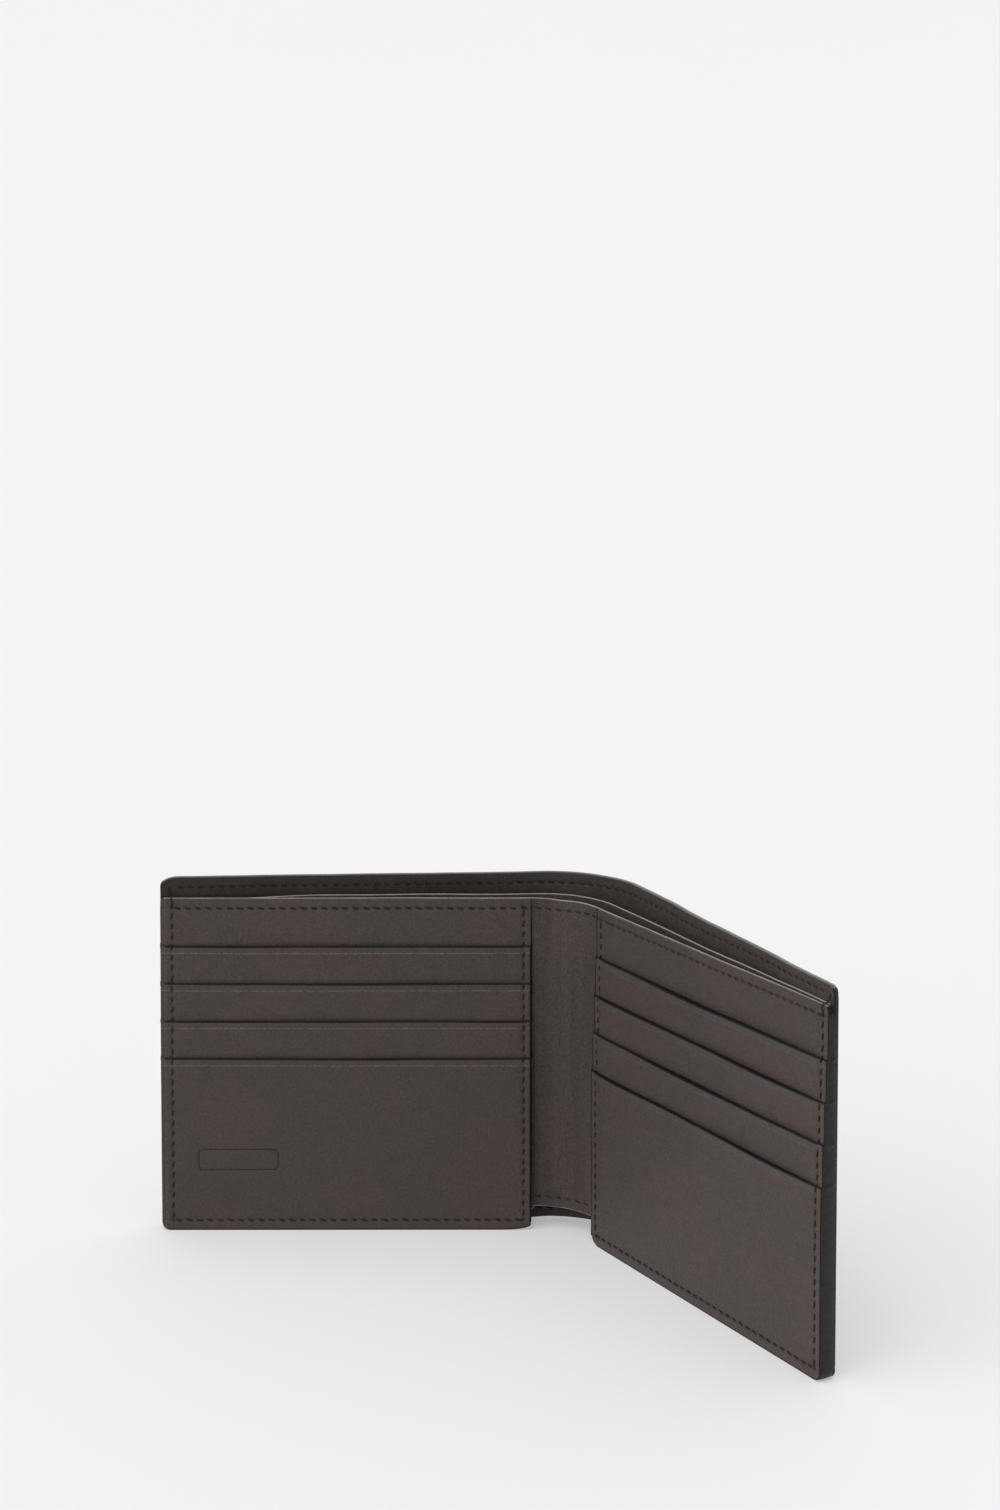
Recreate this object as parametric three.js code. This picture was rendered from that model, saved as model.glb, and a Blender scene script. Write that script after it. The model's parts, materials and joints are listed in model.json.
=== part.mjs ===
// Bifold wallet, standing half open on its bottom edges. Millimetres, +Z up.
// The inside of the wallet faces -Y. Left and right are as seen from the inside.
//
// Every layer is a sheet of leather that runs from the left outer edge, round the spine fold, to the
// right outer edge. A layer is described in sheet coordinates: x along the sheet from its left outer
// edge, y behind its front face, z up. FoldedSheet turns these into the folded plan.
import * as THREE from "three";

// ---- Overall sizes -------------------------------------------------------------------------------
const COVER_HEIGHT = 90;          // outer shell, bottom edge to top edge
const PANEL_HEIGHT = 85;          // inner panel and divider
const HALF_LENGTH = 93.2;         // one card stack, outer edge to spine-side edge
const FOLD_BEND = 58.9;           // degrees that the right half is turned from lying flat
const STACK_TO_CORNER = 10.9;     // card stack's spine-side edge to the corner where both planes meet
const CORNER_RADIUS = 3;          // rounded outer corners
const CORNER_SEGMENTS = 5;

// ---- Layers, from the inside out ---------------------------------------------------------------
const POCKET_THICK = 0.3;         // pocket leather, skived thin, and the base that carries the pockets
const PANEL_THICK = 0.4;
const DIVIDER_THICK = 0.35;
const LINING_THICK = 0.35;
const BOARD_THICK = 0.3;
const COVER_THICK = 0.6;
const LAYER_GAP = 0.1;            // air between layers that lie on each other
const SPINE_GAP = 0.3;            // air between a spine strip and the halves beside it

// ---- How the sheets part towards the spine ------------------------------------------------------
const SHELL = { leftWedge: 3.0, rightWedge: 5.2, radius: 24 };
const DIVIDER = { leftWedge: 1.5, rightWedge: 2.2, radius: 21 };

// ---- Card pockets --------------------------------------------------------------------------------
const POCKET_COUNT = 4;
const FIRST_MOUTH = 72.9;         // height of the highest pocket's mouth
const MOUTH_STEP = 9.5;           // each next mouth is this much lower
const POCKET_DEPTH = 50;          // mouth to hidden bottom hem of the three upper pockets

// ---- Spine ---------------------------------------------------------------------------------------
const PANEL_SPINE_BOTTOM = 5.5;   // the inner panel is cut short where it crosses the spine
const SHELL_SPINE_BOTTOM = 0.4;   // the shell lifts slightly at the fold
const SPINE_SEGMENTS = 14;

// ---- Stiffening board ----------------------------------------------------------------------------
const BOARD_MARGIN = 5;           // board's edge to the shell's edge, clear of the seams

// ---- Seams ---------------------------------------------------------------------------------------
const THREAD_WIDTH = 0.4;
const THREAD_THICK = 0.3;
const THREAD_GAP = 0.1;           // air between thread and leather
const SEAM_INSET = 2.6;           // seam to an outer edge
const INNER_SEAM_INSET = 1.9;     // seam to a card stack's spine-side edge
const SEAM_END = 4;               // seams stop this far from a corner

// ---- Fold axis -----------------------------------------------------------------------------------
const FOLD_CLEARANCE = 0.6;       // fold axis in front of the foremost pocket, half the closed gap

const toRadians = THREE.MathUtils.degToRad;
const pocketStep = POCKET_THICK + LAYER_GAP;
const stackThick = (POCKET_COUNT + 1) * pocketStep;
const panelLength = HALF_LENGTH + STACK_TO_CORNER;
const dividerFront = PANEL_THICK + LAYER_GAP;
const shellFront = dividerFront + DIVIDER_THICK + LAYER_GAP;
const boardFront = LINING_THICK + LAYER_GAP;
const coverFront = boardFront + BOARD_THICK + LAYER_GAP;
const coverBack = coverFront + COVER_THICK;

// A heading in plan, counted in degrees from +X towards +Y.
function heading(degrees) {
  return new THREE.Vector2(Math.cos(toRadians(degrees)), Math.sin(toRadians(degrees)));
}

// The direction behind a sheet that runs along the given heading.
function behind(direction) {
  return new THREE.Vector2(-direction.y, direction.x);
}

// A sheet's front face in plan: a straight, a round fold towards -Y, and a straight.
class FoldedSheet {
  constructor(start, startDegrees, end, endDegrees, radius) {
    const out = heading(startDegrees);
    const back = heading(endDegrees).negate();
    const across = new THREE.Vector2().subVectors(end, start);
    const toCorner = across.cross(back) / out.cross(back);
    const corner = start.clone().addScaledVector(out, toCorner);
    const bend = toRadians(startDegrees - endDegrees);
    const tangent = radius * Math.tan(bend / 2);
    this.start = start;
    this.startDegrees = startDegrees;
    this.radius = radius;
    this.bend = bend;
    this.leftLength = toCorner - tangent;
    this.spineLength = radius * bend;
    this.rightLength = end.distanceTo(corner) - tangent;
    this.rightStart = this.leftLength + this.spineLength;
    this.length = this.rightStart + this.rightLength;
  }

  // Plan point at distance x along the sheet and y behind its front face.
  point(x, y) {
    const out = heading(this.startDegrees);
    const foldStart = this.start.clone().addScaledVector(out, Math.min(x, this.leftLength));
    if (x <= this.leftLength) return foldStart.addScaledVector(behind(out), y);
    const turned = Math.min(x - this.leftLength, this.spineLength) / this.radius;
    const centre = foldStart.clone().addScaledVector(behind(out), -this.radius);
    const along = heading(this.startDegrees - THREE.MathUtils.radToDeg(turned));
    const point = centre.addScaledVector(behind(along), this.radius + y);
    return point.addScaledVector(along, Math.max(x - this.rightStart, 0));
  }

  // Moves a geometry from sheet coordinates to its place in the folded wallet.
  lay(geometry) {
    const position = geometry.attributes.position;
    for (let i = 0; i < position.count; i += 1) {
      const point = this.point(position.getX(i), position.getY(i));
      position.setXY(i, point.x, point.y);
    }
    geometry.computeVertexNormals();
    return geometry;
  }
}

// ---- The three folded sheets --------------------------------------------------------------------
const rightHeading = heading(-FOLD_BEND);
const panelCorner = new THREE.Vector2(panelLength, 0);
const panelEnd = panelCorner.clone().addScaledVector(rightHeading, panelLength);

function sheetBehindPanel(depth, leftWedge, rightWedge, radius) {
  const start = new THREE.Vector2(0, depth);
  const end = panelEnd.clone().addScaledVector(behind(rightHeading), depth);
  return new FoldedSheet(start, leftWedge, end, -FOLD_BEND - rightWedge, radius);
}

const panelRadius = STACK_TO_CORNER / Math.tan(toRadians(FOLD_BEND / 2));
const panelSheet = sheetBehindPanel(0, 0, 0, panelRadius);
const dividerSheet = sheetBehindPanel(
  dividerFront, DIVIDER.leftWedge, DIVIDER.rightWedge, DIVIDER.radius,
);
const shellSheet = sheetBehindPanel(shellFront, SHELL.leftWedge, SHELL.rightWedge, SHELL.radius);

// ---- Materials -----------------------------------------------------------------------------------
const insideLeather = { color: 0x463f3b, roughness: 0.55, metalness: 0 };
const liningLeather = { color: 0x3a332f, roughness: 0.6, metalness: 0 };
const coverLeather = { color: 0x3d3733, roughness: 0.5, metalness: 0 };
const board = { color: 0x8d8474, roughness: 0.9, metalness: 0 };
const thread = { color: 0x33221f, roughness: 0.7, metalness: 0 };

const wallet = new THREE.Group();

function add(name, geometry, look) {
  const mesh = new THREE.Mesh(geometry, new THREE.MeshStandardMaterial(look));
  mesh.name = name;
  wallet.add(mesh);
}

// ---- Shapes in sheet coordinates -----------------------------------------------------------------
// A flat plate from x0 to x1 and z0 to z1, with a radius for each corner (0 leaves it square).
function flatPlate(x0, x1, z0, z1, front, thick, corners = {}) {
  const { lowLeft = 0, lowRight = 0, highRight = 0, highLeft = 0 } = corners;
  const outline = new THREE.Shape();
  const quarter = Math.PI / 2;
  const corner = (x, z, radius, from) => {
    if (radius > 0) outline.absarc(x, z, radius, from, from + quarter, false);
  };
  outline.moveTo(x0 + lowLeft, z0);
  outline.lineTo(x1 - lowRight, z0);
  corner(x1 - lowRight, z0 + lowRight, lowRight, -quarter);
  outline.lineTo(x1, z1 - highRight);
  corner(x1 - highRight, z1 - highRight, highRight, 0);
  outline.lineTo(x0 + highLeft, z1);
  corner(x0 + highLeft, z1 - highLeft, highLeft, quarter);
  outline.lineTo(x0, z0 + lowLeft);
  corner(x0 + lowLeft, z0 + lowLeft, lowLeft, Math.PI);
  const plate = new THREE.ExtrudeGeometry(outline, {
    depth: thick, bevelEnabled: false, curveSegments: CORNER_SEGMENTS,
  });
  plate.rotateX(quarter);
  plate.translate(0, front + thick, 0);
  return plate;
}

// A strip that is fine enough to follow the spine fold.
function spinePlate(sheet, z0, z1, front, thick) {
  const length = sheet.spineLength - 2 * SPINE_GAP;
  const plate = new THREE.BoxGeometry(length, thick, z1 - z0, SPINE_SEGMENTS, 1, 1);
  const middle = sheet.leftLength + sheet.spineLength / 2;
  plate.translate(middle, front + thick / 2, (z0 + z1) / 2);
  return plate;
}

// Height of a pocket's mouth, counted from the highest pocket, 0.
function mouthHeight(pocket) {
  return FIRST_MOUTH - pocket * MOUTH_STEP;
}

// Front face of a pocket's leather: the base and every higher pocket lie behind it.
function pocketFront(pocket) {
  const layersBehind = pocket + 1;
  return -(layersBehind + 1) * pocketStep;
}

// A run of thread up a card stack: it steps forward over each pocket that it crosses.
function steppedThread(x, z0, z1) {
  const back = -pocketStep - THREAD_GAP;
  const mouths = Array.from({ length: POCKET_COUNT }, (_, pocket) => mouthHeight(pocket));
  const outline = [new THREE.Vector2(back, z1)];
  let level = back;
  for (const mouth of mouths) {
    const ledge = mouth + THREAD_GAP;
    outline.push(new THREE.Vector2(level, ledge));
    level -= pocketStep;
    outline.push(new THREE.Vector2(level, ledge));
  }
  outline.push(new THREE.Vector2(level, z0));
  const front = outline.map((point) => {
    const end = point.y === z0 || point.y === z1;
    return new THREE.Vector2(point.x - THREAD_THICK, end ? point.y : point.y + THREAD_THICK);
  });
  const shape = new THREE.Shape([...outline, ...front.reverse()]);
  const run = new THREE.ExtrudeGeometry(shape, { depth: THREAD_WIDTH, bevelEnabled: false });
  // The outline's x is depth and its y is height: turn it so that the extrusion runs along x.
  run.applyMatrix4(new THREE.Matrix4().set(
    0, 0, 1, x - THREAD_WIDTH / 2,
    1, 0, 0, 0,
    0, 1, 0, 0,
    0, 0, 0, 1,
  ));
  return run;
}

// A level run of thread on a half. Its front face is given, measured behind the sheet's front face.
function levelThread(x0, x1, z, front) {
  return flatPlate(x0, x1, z - THREAD_WIDTH / 2, z + THREAD_WIDTH / 2, front, THREAD_THICK);
}

// An upright run of thread on a half.
function uprightThread(x, z0, z1, front) {
  return flatPlate(x - THREAD_WIDTH / 2, x + THREAD_WIDTH / 2, z0, z1, front, THREAD_THICK);
}

const inFront = -THREAD_GAP - THREAD_THICK;
const onCover = coverBack + THREAD_GAP;

// Where a sheet's left and right halves run, with the corners that are rounded on each.
function halvesOf(sheet) {
  return {
    left: { x0: 0, x1: sheet.leftLength, outer: ["lowLeft", "highLeft"] },
    right: { x0: sheet.rightStart, x1: sheet.length, outer: ["lowRight", "highRight"] },
  };
}

function roundOuter(half) {
  return Object.fromEntries(half.outer.map((corner) => [corner, CORNER_RADIUS]));
}

// ---- Outer shell: cover, stiffening boards and lining --------------------------------------------
for (const [side, half] of Object.entries(halvesOf(shellSheet))) {
  const { x0, x1 } = half;
  const rounded = roundOuter(half);
  const coverPlate = flatPlate(x0, x1, 0, COVER_HEIGHT, coverFront, COVER_THICK, rounded);
  const liningPlate = flatPlate(x0, x1, 0, COVER_HEIGHT, 0, LINING_THICK, rounded);
  const boardPlate = flatPlate(
    x0 + BOARD_MARGIN, x1 - BOARD_MARGIN, BOARD_MARGIN, COVER_HEIGHT - BOARD_MARGIN,
    boardFront, BOARD_THICK,
  );
  add(`cover_${side}`, shellSheet.lay(coverPlate), coverLeather);
  add(`cover_lining_${side}`, shellSheet.lay(liningPlate), liningLeather);
  add(`cover_board_${side}`, shellSheet.lay(boardPlate), board);
}
const coverSpine = spinePlate(
  shellSheet, SHELL_SPINE_BOTTOM, COVER_HEIGHT, coverFront, COVER_THICK,
);
const liningSpine = spinePlate(shellSheet, SHELL_SPINE_BOTTOM, COVER_HEIGHT, 0, LINING_THICK);
add("cover_spine", shellSheet.lay(coverSpine), coverLeather);
add("cover_lining_spine", shellSheet.lay(liningSpine), liningLeather);

// ---- Divider between the two note compartments ---------------------------------------------------
for (const [side, half] of Object.entries(halvesOf(dividerSheet))) {
  const plate = flatPlate(half.x0, half.x1, 0, PANEL_HEIGHT, 0, DIVIDER_THICK, roundOuter(half));
  add(`divider_${side}`, dividerSheet.lay(plate), liningLeather);
}
const dividerSpine = spinePlate(dividerSheet, PANEL_SPINE_BOTTOM, PANEL_HEIGHT, 0, DIVIDER_THICK);
add("divider_spine", dividerSheet.lay(dividerSpine), liningLeather);

// ---- Inner panel and its card pockets ------------------------------------------------------------
for (const [side, half] of Object.entries(halvesOf(panelSheet))) {
  const { x0, x1 } = half;
  const rounded = roundOuter(half);
  const plate = flatPlate(x0, x1, 0, PANEL_HEIGHT, 0, PANEL_THICK, rounded);
  const bottomCorners = { lowLeft: CORNER_RADIUS, lowRight: CORNER_RADIUS };
  const base = flatPlate(
    x0, x1, 0, PANEL_HEIGHT, -pocketStep, POCKET_THICK, { ...rounded, ...bottomCorners },
  );
  add(`inner_panel_${side}`, panelSheet.lay(plate), insideLeather);
  add(`pocket_base_${side}`, panelSheet.lay(base), insideLeather);
  for (let pocket = 0; pocket < POCKET_COUNT; pocket += 1) {
    const lowest = pocket === POCKET_COUNT - 1;
    const mouth = mouthHeight(pocket);
    const bottom = lowest ? 0 : mouth - POCKET_DEPTH;
    const corners = lowest ? bottomCorners : {};
    const leather = flatPlate(x0, x1, bottom, mouth, pocketFront(pocket), POCKET_THICK, corners);
    add(`card_pocket_${side}_${pocket + 1}`, panelSheet.lay(leather), insideLeather);
  }
}
const panelSpine = spinePlate(panelSheet, PANEL_SPINE_BOTTOM, PANEL_HEIGHT, 0, PANEL_THICK);
add("inner_panel_spine", panelSheet.lay(panelSpine), insideLeather);

// ---- Seams on the inside -------------------------------------------------------------------------
for (const [side, { x0, x1 }] of Object.entries(halvesOf(panelSheet))) {
  const left = side === "left";
  const outerSeam = left ? x0 + SEAM_INSET : x1 - SEAM_INSET;
  const innerSeam = left ? x1 - INNER_SEAM_INSET : x0 + INNER_SEAM_INSET;
  const outerRun = steppedThread(outerSeam, SEAM_END, PANEL_HEIGHT - SEAM_END);
  const innerRun = steppedThread(innerSeam, SEAM_END, PANEL_HEIGHT - SEAM_END);
  add(`thread_${side}_side`, panelSheet.lay(outerRun), thread);
  add(`thread_${side}_spine_side`, panelSheet.lay(innerRun), thread);
  const bottomRun = levelThread(x0 + SEAM_END, x1 - SEAM_END, SEAM_INSET, inFront - stackThick);
  add(`thread_${side}_bottom`, panelSheet.lay(bottomRun), thread);
  const topRun = levelThread(
    x0 + SEAM_END, x1 - SEAM_END, PANEL_HEIGHT - SEAM_INSET, inFront - pocketStep,
  );
  add(`thread_panel_top_${side}`, panelSheet.lay(topRun), thread);
}

// A level run of thread across the spine.
function spineThread(sheet, z, front) {
  const plate = spinePlate(sheet, z - THREAD_WIDTH / 2, z + THREAD_WIDTH / 2, front, THREAD_THICK);
  return sheet.lay(plate);
}

const panelTopSeam = PANEL_HEIGHT - SEAM_INSET;
const panelSpineSeam = PANEL_SPINE_BOTTOM + SEAM_INSET;
add("thread_panel_top_spine", spineThread(panelSheet, panelTopSeam, inFront), thread);
add("thread_panel_spine_bottom", spineThread(panelSheet, panelSpineSeam, inFront), thread);

// ---- Seams of the outer shell --------------------------------------------------------------------
// They show above the inner panel on the lining, and all round on the outside.
const shellTopSeam = COVER_HEIGHT - SEAM_INSET;
for (const [side, { x0, x1 }] of Object.entries(halvesOf(shellSheet))) {
  const outerSeam = side === "left" ? x0 + SEAM_INSET : x1 - SEAM_INSET;
  const ends = [x0 + SEAM_END, x1 - SEAM_END];
  const liningRun = levelThread(...ends, shellTopSeam, inFront);
  const topRun = levelThread(...ends, shellTopSeam, onCover);
  const bottomRun = levelThread(...ends, SEAM_INSET, onCover);
  const sideRun = uprightThread(outerSeam, SEAM_END, COVER_HEIGHT - SEAM_END, onCover);
  add(`thread_lining_top_${side}`, shellSheet.lay(liningRun), thread);
  add(`thread_cover_top_${side}`, shellSheet.lay(topRun), thread);
  add(`thread_cover_bottom_${side}`, shellSheet.lay(bottomRun), thread);
  add(`thread_cover_side_${side}`, shellSheet.lay(sideRun), thread);
}
add("thread_lining_top_spine", spineThread(shellSheet, shellTopSeam, inFront), thread);
add("thread_lining_bottom_spine", spineThread(shellSheet, SEAM_INSET, inFront), thread);
add("thread_cover_top_spine", spineThread(shellSheet, shellTopSeam, onCover), thread);
add("thread_cover_bottom_spine", spineThread(shellSheet, SEAM_INSET, onCover), thread);

// ---- Place the wallet with its origin at the middle of its footprint -----------------------------
// The halves turn about an upright axis just in front of the pockets' faces.
const axisBack = stackThick + FOLD_CLEARANCE;
const foldAxis = panelCorner.clone().add(
  new THREE.Vector2(-axisBack * Math.tan(toRadians(FOLD_BEND / 2)), -axisBack),
);
const footprint = new THREE.Box3().setFromObject(wallet);
const middle = footprint.getCenter(new THREE.Vector3());
wallet.position.set(-middle.x, -middle.y, -footprint.min.z);
wallet.userData.foldAxis = [foldAxis.x - middle.x, foldAxis.y - middle.y];

export default wallet;
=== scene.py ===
"""Bifold wallet: the looks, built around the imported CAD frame.

Leather is described in sheet coordinates, in millimetres: x along the sheet from its left outer edge,
y behind its front face and z up. FoldedSheet turns them into the folded wallet's own frame.
"""

import json
import math

import bpy
import numpy as np
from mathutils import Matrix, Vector


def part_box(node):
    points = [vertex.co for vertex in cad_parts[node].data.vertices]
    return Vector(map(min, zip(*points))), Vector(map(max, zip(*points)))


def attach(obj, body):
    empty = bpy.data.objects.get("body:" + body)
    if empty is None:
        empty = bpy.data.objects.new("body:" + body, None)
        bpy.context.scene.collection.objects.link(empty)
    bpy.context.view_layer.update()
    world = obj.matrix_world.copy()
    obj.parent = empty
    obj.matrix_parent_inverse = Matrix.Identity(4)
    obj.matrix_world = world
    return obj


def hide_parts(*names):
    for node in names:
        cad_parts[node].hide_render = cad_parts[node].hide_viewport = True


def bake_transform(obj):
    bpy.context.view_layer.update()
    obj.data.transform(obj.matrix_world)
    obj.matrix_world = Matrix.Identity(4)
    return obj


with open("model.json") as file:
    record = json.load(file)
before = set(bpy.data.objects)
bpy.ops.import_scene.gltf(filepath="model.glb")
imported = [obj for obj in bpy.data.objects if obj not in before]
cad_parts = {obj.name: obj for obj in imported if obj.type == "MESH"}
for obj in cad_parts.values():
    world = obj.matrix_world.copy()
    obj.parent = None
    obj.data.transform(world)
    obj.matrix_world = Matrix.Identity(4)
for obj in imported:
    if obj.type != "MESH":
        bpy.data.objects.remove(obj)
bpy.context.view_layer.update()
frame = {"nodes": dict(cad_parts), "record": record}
MM = 0.001

# ---- Driving dimensions, from the frame ----
BEND = -frame["record"]["behaviour"]["joints"][0]["range_deg"][0]  # degrees from lying flat
PANEL_LOW, PANEL_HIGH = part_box("inner_panel_left")
COVER_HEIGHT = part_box("cover_left")[1].z / MM
PANEL_HEIGHT = PANEL_HIGH.z / MM
HALF = (PANEL_HIGH.x - PANEL_LOW.x) / MM  # one card stack, edge to edge
SPINE_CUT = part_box("inner_panel_spine")[0].z / MM  # the inner panel's raised edge at the spine
POCKETS = 4
LAYERS = [f"card_pocket_left_{n + 1}" for n in range(POCKETS)]
MOUTHS = [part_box(node)[1].z / MM for node in LAYERS]
POCKET_FRONTS = [(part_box(node)[0].y - PANEL_LOW.y) / MM for node in LAYERS]
BASE_FRONT = (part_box("pocket_base_left")[0].y - PANEL_LOW.y) / MM
HEMS = [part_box(node)[0].z / MM for node in LAYERS[:-1]]

# ---- Leather thicknesses and the gaps that the CAD sheets leave ----
POCKET_THICK = 0.36
PANEL_THICK = 0.45
DIVIDER_FRONT = 0.5
DIVIDER_THICK = 0.4
SHELL_FRONT = 0.95
LINING_THICK = 0.4
COVER_FRONT = 0.42
COVER_BACK = 1.45
STACK_CORNER = 10.9  # card stack's spine-side edge to the corner where both planes meet
CORNER = 2.2  # rounded outer corners
SHELL_HIGH_LEFT = (4.6, 2.3)  # the shell's upper left corner is drawn in by the seam: along, up
STACK_INSET = 0.1  # the shell's rim stands this far outside the card stack
STACK_CORNER_ROUND = 0.9  # the stack's upper outer corners are nearly square
BASE_DROP = 0.15  # the base of a card stack stands lower than the panel behind it
DIVIDER_RISE = 0.3  # the divider's edge shows as a second line above the panel's
SHELL_FOLD = (3.0, 5.2, 24.0)  # left wedge, right wedge (degrees), fold radius
DIVIDER_FOLD = (1.5, 2.2, 21.0)

# ---- Seams ----
PITCH = 2.6  # one stitch to the next
SEAM = 2.6  # seam to an upper or lower edge
SIDE_SEAM = {"left": 3.0, "right": 2.3}  # seam to a card stack's outer side edge
INNER_SEAM = 1.9  # seam to a card stack's spine-side edge
CREASE = 1.8  # decorative crease below each pocket mouth
SEAM_ZONE = (0.9, 0.18)  # stations are this close around a seam: half width, step
MOUTH_ZONE = (0.25, 0.05)  # and around the place where the next pocket's mouth lies
SEAM_DIP = 0.45  # half width of the dip that a seam presses into the leather
STACK_DEPTH = 0.17  # depth of that dip on the card stacks
PANEL_DEPTH = 0.16  # on the inner panel and along the top of the stacks
SHELL_DEPTH = 0.10  # and on the shell
ALONG_STEP = 1.6  # stations along a sheet elsewhere
PAINTED_TO = 0.2  # edge paint ends this far below the panel's top


# ==== Folded sheets ====
def heading(degrees):
    angle = math.radians(degrees)
    return np.array([math.cos(angle), math.sin(angle)])


def behind(direction):
    return np.array([-direction[1], direction[0]])


class FoldedSheet:
    """A sheet's front face in plan: a straight, a round fold towards the viewer, and a straight."""

    def __init__(self, depth, left_wedge, right_wedge, radius):
        right = heading(-BEND)
        corner = np.array([HALF + STACK_CORNER, 0.0])
        self.start = np.array([0.0, depth])
        self.end = corner + right * (HALF + STACK_CORNER) + behind(right) * depth
        self.out_degrees = left_wedge
        out = heading(left_wedge)
        back = -heading(-BEND - right_wedge)
        across = self.end - self.start
        turn = out[0] * back[1] - out[1] * back[0]
        to_corner = (across[0] * back[1] - across[1] * back[0]) / turn
        meet = self.start + out * to_corner
        self.bend = math.radians(left_wedge + BEND + right_wedge)
        self.radius = radius
        tangent = radius * math.tan(self.bend / 2)
        self.left = to_corner - tangent
        self.right = self.left + radius * self.bend
        self.length = self.right + float(np.linalg.norm(self.end - meet)) - tangent

    def place(self, x, y, z):
        """World points, in metres, for arrays of sheet coordinates in millimetres."""
        x, y, z = (np.asarray(value, float) for value in np.broadcast_arrays(x, y, z))
        out = heading(self.out_degrees)
        turned = np.clip(x - self.left, 0, self.right - self.left) / self.radius
        angle = math.radians(self.out_degrees) - turned
        along = np.stack([np.cos(angle), np.sin(angle)], -1)
        back = np.stack([-along[..., 1], along[..., 0]], -1)
        start = self.start + out * np.minimum(x, self.left)[..., None]
        centre = start - behind(out) * self.radius
        plan = centre + back * (self.radius + y)[..., None]
        plan = plan + along * np.maximum(x - self.right, 0)[..., None]
        world = np.empty(x.shape + (3,))
        world[..., 0] = PANEL_LOW.x + plan[..., 0] * MM
        world[..., 1] = PANEL_LOW.y + plan[..., 1] * MM
        world[..., 2] = z * MM
        return world


PANEL = FoldedSheet(0.0, 0.0, 0.0, STACK_CORNER / math.tan(math.radians(BEND / 2)))
DIVIDER = FoldedSheet(DIVIDER_FRONT, *DIVIDER_FOLD)
SHELL = FoldedSheet(SHELL_FRONT, *SHELL_FOLD)
BLEND_START = tuple(PANEL.place(PANEL.left, 0, 0))
BLEND_END = tuple(PANEL.place(PANEL.right, 0, 0))


# ==== Shape helpers ====
def gauss(value, centre, width):
    return np.exp(-(((value - centre) / width) ** 2))


def ease(value, low, high):
    """0 below low, 1 above high, smooth between."""
    t = np.clip((value - low) / (high - low), 0, 1)
    return t * t * (3 - 2 * t)


WAVES = 5
GOLDEN_ANGLE = 2.399  # radians; it spreads the waves' directions evenly


def waves(x, z, seed, size):
    """Slow uneven swelling between about -1 and 1."""
    total = 0.0
    for n in range(WAVES):
        turn = seed * 1.7 + n * GOLDEN_ANGLE
        length = size * (1.0 - 0.13 * n)
        along = x * math.cos(turn) + z * math.sin(turn)
        total = total + np.sin(along / length * 6.283 + seed * 5.1 + n * 1.3)
    return total / 3.2


def tied_ends(x, length, reach):
    """0 at both sewn ends of a sheet, 1 farther than reach from them."""
    return ease(x, 0, reach) * (1 - ease(x, length - reach, length))


def stations(low, high, step, *fine):
    """Even stations, with closer ones at both ends and in each fine zone (centre, half width, step)."""
    count = max(2, int(round((high - low) / step)) + 1)
    points = list(np.linspace(low, high, count))
    for centre, half, close in fine:
        points += list(np.arange(centre - half, centre + half + close / 2, close))
    for inset in (0.03, 0.08, 0.15, 0.24, 0.36, 0.55, 0.8):
        points += [low + inset, high - inset]
    points = sorted(p for p in points if low <= p <= high)
    kept = [low]
    for p in points:
        if p - kept[-1] > 0.025:
            kept.append(p)
    kept[-1] = high
    return np.array(kept)


class Outline:
    """A sheet's outline: straight sides, and corners rounded by one radius or by (along, up) radii.

    raised is a stretch of the lower edge that is cut higher: its start, end and height, and the width of
    its slopes. sag is how far the upper edge sinks at the left and the right end, wave how much it undulates.
    """

    PROBE = 0.02  # step for an edge's slope
    LEFT_SAG = (12, 45)  # the sinking fades out between these distances from the left end
    RIGHT_SAG = (20, 75)  # and from the right end

    def __init__(self, x0, x1, z0, z1, low_left=0, low_right=0, high_left=0, high_right=0, raised=None,
                 sag=(0.0, 0.0), wave=0.0):
        self.x0, self.x1, self.z0, self.z1 = x0, x1, z0, z1
        corners = (low_left, low_right, high_left, high_right)
        self.corners = [radii if isinstance(radii, tuple) else (radii, radii) for radii in corners]
        self.raised = raised
        self.sag = sag
        self.wave = wave

    @staticmethod
    def drop(inset, radii):
        along, up = radii
        if along == 0:
            return 0.0 * inset
        t = np.clip(1 - inset / along, 0, 1)
        return up * (1 - np.sqrt(1 - t * t))

    def corner_drop(self, x, left, right):
        return self.drop(x - self.x0, left) + self.drop(self.x1 - x, right)

    def low(self, x):
        edge = self.z0 + self.corner_drop(x, *self.corners[:2])
        if self.raised:
            start, end, height, width = self.raised
            edge = edge + height * ease(x, start - width, start) * (1 - ease(x, end, end + width))
        return edge

    def high(self, x):
        sag = self.sag[0] * (1 - ease(x - self.x0, *self.LEFT_SAG))
        sag = sag + self.sag[1] * (1 - ease(self.x1 - x, *self.RIGHT_SAG))
        wave = np.sin(x * 0.085 + self.z1) + 0.5 * np.sin(x * 0.19 + 2 * self.z1)
        return self.z1 + self.wave * wave - sag - self.corner_drop(x, *self.corners[2:])

    def slope(self, edge, x):
        """Rise per millimetre along one edge."""
        left, right = np.maximum(x - self.PROBE, self.x0), np.minimum(x + self.PROBE, self.x1)
        return (edge(right) - edge(left)) / (2 * self.PROBE)

    def distance(self, x, z):
        """Distance to the nearest edge, for points inside."""
        below = (z - self.low(x)) / np.sqrt(1 + self.slope(self.low, x) ** 2)
        above = (self.high(x) - z) / np.sqrt(1 + self.slope(self.high, x) ** 2)
        return np.minimum.reduce([x - self.x0, self.x1 - x, below, above])


def new_object(name, vertices, faces):
    mesh = bpy.data.meshes.new(name)
    mesh.from_pydata([tuple(v) for v in vertices], [], faces)
    mesh.update()
    mesh.shade_smooth()
    piece = bpy.data.objects.new(name, mesh)
    bpy.context.scene.collection.objects.link(piece)
    return piece


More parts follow.
